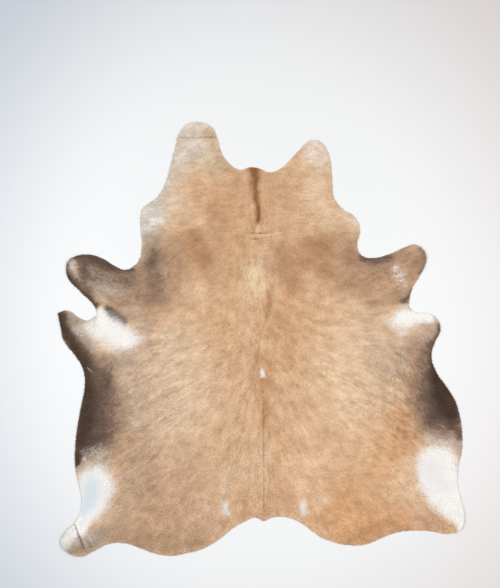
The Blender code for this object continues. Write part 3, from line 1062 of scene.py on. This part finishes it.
coatLook = {
    "cloudCells": 14.0,
    "fleckCells": 210.0,
    "hairLight": 0.18,              # how far each noise swings the coat's brightness
    "streakLight": 0.30,
    "cellLight": 0.48,
    "mottleLight": 0.72,
    "cloudLight": 0.52,
    "blotchyCell": 0.9,             # how much more they swing it where the coat is blotchy
    "blotchyMottle": 0.5,
    "roughness": 0.66,
    "bumpStrength": 0.35,
    "bumpDepth": 0.8 * mm,
    "specular": 0.16,
    "sheen": 0.03,
    "sheenRoughness": 0.5,
}


# The coat's colour from its tones and marks, broken up by noise drawn out along the hair
def coatFinish():
    look = coatLook
    material, shader, position = newFinish("coat hair")
    dark, white, bare = reading(position, "marks").split()
    speckle, blotch, shade = reading(position, "extra").split()
    lie = reading(position, "lie")
    x, y, _z = position.split()
    hair, streak, cell, mottle, smoke = (smeared(position, lie, *grain) for grain in hairGrains.values())
    cloud = position.grain(look["cloudCells"], 2.0) - 0.5
    light = hair * look["hairLight"] + streak * look["streakLight"] + cloud * look["cloudLight"]
    light = light + cell * (blotch * look["blotchyCell"] + look["cellLight"])
    light = light + mottle * (blotch * look["blotchyMottle"] + look["mottleLight"])
    swing = light * (1 - white * 0.75) * (1 - bare * 0.8)
    # shade is each lock's own random tint, and painted shade on the skin between the locks
    tint = triple(swing * 0.82 + shade, swing + shade, swing * 1.22 + shade)
    coated = reading(position, "tone").tinted(tint)
    # dark hair: frayed where it thins out, from grey-brown to nearly black
    fray = streak + cell * 1.2 + mottle + hair * 0.5 + smoke * (blotch * 0.5 + 0.2)
    depth = dark + fray * (dark * (1 - dark) * 2.0 + 0.2) * dark.ease(0.0, 0.25)
    darkHair = depth.node("ShaderNodeValToRGB", {"stops": darkStops}, {"Fac": depth})
    darkHair = darkHair.tinted(triple(light * 1.5 + shade, light * 1.55 + shade, light * 1.6 + shade))
    coated = depth.ease(0.0, 0.6).blend(coated, darkHair)
    # white hair, with scattered white hairs in the speckled places
    whiteFray = (streak * 1.1 + hair * 0.7 + cell * 0.5) * (white * (1 - white) * 2.4)
    fleck = position.grain(look["fleckCells"], 1.0) - 0.5
    scatter = (fleck * 2.6 + hair + cell + speckle).ease(0.24, 0.96) * speckle.ease(0.05, 0.5) * 0.8
    paleness = (white + whiteFray).ease(0.02, 0.95).atLeast(scatter)
    chalky = triple(swing * 0.5 + 1.0, swing * 0.5 + 1.0, swing * 0.6 + 1.0).tinted(seenAs("milk")[:3])
    coated = paleness.blend(coated, chalky)
    # nearly bare skin, cooler on the left thigh
    skinny = (bare + (cell + streak) * 0.2 * bare).ease(0.0, 1.1) * 0.95
    coated = skinny.blend(coated, x.ease(-0.4, 0.4).blend(seenAs("frost"), seenAs("lilacGrey")))
    # creases, with painted highlights in shell and painted shade in chestnut along them
    mark = creasePaintedLight(x, y)
    coated = mark.atLeast(0.0).blend(coated, seenAs("shell"))
    coated = (mark * -1.0).atLeast(0.0).blend(coated, seenAs("chestnut"))
    rough = look["roughness"] + hair * 0.25 - dark * 0.12 + white * 0.06
    height = (hair + streak * 1.5) * (1 - white * 0.7)
    feedShader(shader, coated, rough, height, look["bumpStrength"], look["bumpDepth"])
    setInputs(shader, {"Specular IOR Level": look["specular"], "Sheen Weight": look["sheen"],
                       "Sheen Roughness": look["sheenRoughness"]})
    return material


leatherLook = {
    "napCells": 900.0,              # noise cells to a metre
    "blotchCells": 14.0,
    "veinCells": 55.0,
    "fibreCells": 1200.0,
    "fleshRoughness": 0.86,
    "edgeRoughness": 0.8,
    "bumpStrength": 0.5,
    "fleshBumpDepth": 0.6 * mm,
    "edgeBumpDepth": 0.4 * mm,
    "fleshSpecular": 0.2,
}


# Pale suede with a short nap and faint blotches
def fleshFinish():
    look = leatherLook
    material, shader, position = newFinish("flesh side suede")
    nap = position.grain(look["napCells"], 3.0, 0.7)
    blotch = position.grain(look["blotchCells"], 3.0, 0.6)
    vein = position.grain(look["veinCells"], 2.0, 0.6)
    paleness = (nap * 0.16 + blotch * 0.30 + vein * 0.14).ease(0.12, 0.46)
    colour = paleness.blend(seenAs("suedeShade"), seenAs("suede"))
    feedShader(shader, colour, look["fleshRoughness"] + nap * 0.1, nap + vein * 0.6,
               look["bumpStrength"], look["fleshBumpDepth"])
    setInputs(shader, {"Specular IOR Level": look["fleshSpecular"]})
    return material


# The cut edge of the leather, fibrous and pale
def edgeFinish():
    look = leatherLook
    material, shader, position = newFinish("cut edge")
    fibre = position.grain(look["fibreCells"], 2.0, 0.6)
    colour = fibre.ease(0.3, 0.7).blend(seenAs("edgeShade"), seenAs("rawEdge"))
    feedShader(shader, colour, look["edgeRoughness"] + fibre * 0.15, fibre,
               look["bumpStrength"], look["edgeBumpDepth"])
    return material


# The studio: a pale floor with painted shade towards its edges, soft light and the camera overhead

studio = {
    "cameraPlace": (-55 * mm, 227 * mm),
    "cameraHeight": 4.5,
    "seenHeight": 2.94,            # metres of floor from the picture's top to its bottom
    "sensorWidth": 36.0,
    "floorSize": 24.0,
    "floorDrop": 0.4 * mm,
    "floorColour": (0.74, 0.742, 0.745, 1.0),
    # painted shade at the floor's edges: cool grey on the left, warm grey on the right
    "paintedShadeLeft": (0.475, 0.51, 0.555, 1.0),
    "paintedShadeRight": (0.61, 0.565, 0.56, 1.0),
    "floorMiddle": (-0.05, 0.1),   # about here the floor's painted light is brightest
    "floorSquash": 0.55,           # the painted bright part is this much longer than wide
    "paintedShadeFade": (0.8, 1.9),       # where the painted shade begins and ends
    "paintedShadeSideFade": 1.2,                # how far from side to side the painted shade's colour changes
    "floorRoughness": 0.6,
    "floorSpecular": 0.2,
    "skyColour": (0.97, 0.985, 1.0, 1.0),
    "skyStrength": 0.42,
    "lampPower": 172.0,
    "lampSize": 3.0,
}

# Columns: name, place, colour
lamps = [
    ("left softbox", (-3.2, 0.1, 4.2), (0.97, 0.985, 1.0)),
    ("right softbox", (3.4, -0.3, 4.2), (1.0, 0.985, 0.965)),
]


def makeFloor():
    bpy.ops.mesh.primitive_plane_add(size=studio["floorSize"], location=(0.0, 0.0, -studio["floorDrop"]))
    floor = bpy.context.active_object
    floor.name = "floor"
    material, shader, position = newFinish("pale floor")
    x, y, _z = position.split()
    # painted shade: the floor is painted darker away from its brightest place, cool on the left and warm on
    # the right
    aside, ahead = x - studio["floorMiddle"][0], y - studio["floorMiddle"][1]
    fromMiddle = x.maths("SQRT", aside * aside + ahead * ahead * studio["floorSquash"])
    rim = x.ease(-studio["paintedShadeSideFade"], studio["paintedShadeSideFade"]).blend(studio["paintedShadeLeft"], studio["paintedShadeRight"])
    colour = fromMiddle.ease(*studio["paintedShadeFade"]).blend(studio["floorColour"], rim)
    colour.tree.links.new(colour.socket, shader.inputs["Base Color"])
    setInputs(shader, {"Roughness": studio["floorRoughness"], "Specular IOR Level": studio["floorSpecular"]})
    floor.data.materials.append(material)


def makeLamp(name, place, colour):
    lamp = bpy.data.lights.new(name, "AREA")
    lamp.shape = "SQUARE"
    lamp.size = studio["lampSize"]
    lamp.energy = studio["lampPower"]
    lamp.color = colour
    holder = addObject(name, lamp)
    holder.location = place
    holder.rotation_euler = (-Vector(place)).to_track_quat("-Z", "Y").to_euler()


def makeStudio():
    makeFloor()
    sky = bpy.data.worlds.new("studio")
    sky.use_nodes = True
    glow = sky.node_tree.nodes["Background"]
    setInputs(glow, {"Color": studio["skyColour"], "Strength": studio["skyStrength"]})
    bpy.context.scene.world = sky
    for name, place, colour in lamps:
        makeLamp(name, place, colour)
    camera = bpy.data.cameras.new("overhead")
    camera.sensor_width = studio["sensorWidth"]
    camera.lens = studio["sensorWidth"] * studio["cameraHeight"] / studio["seenHeight"]
    holder = addObject("overhead", camera)
    holder.location = (*studio["cameraPlace"], studio["cameraHeight"])
    bpy.context.scene.camera = holder
    bpy.context.scene.view_settings.view_transform = "Standard"
    print("studio made")


def main():
    makeStudio()
    maps = makeMaps()
    coat = coatFinish()
    finishes = [coat, fleshFinish(), edgeFinish()]
    print("finishes made")
    skin = makeSkin(maps, finishes)
    maps.layers["inside"] = insideMask(skin, maps)
    pieces = makeCoat(skin, maps, coat)
    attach(skin, "root")
    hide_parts("hide")
    for piece in pieces:
        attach(piece, "root")


main()
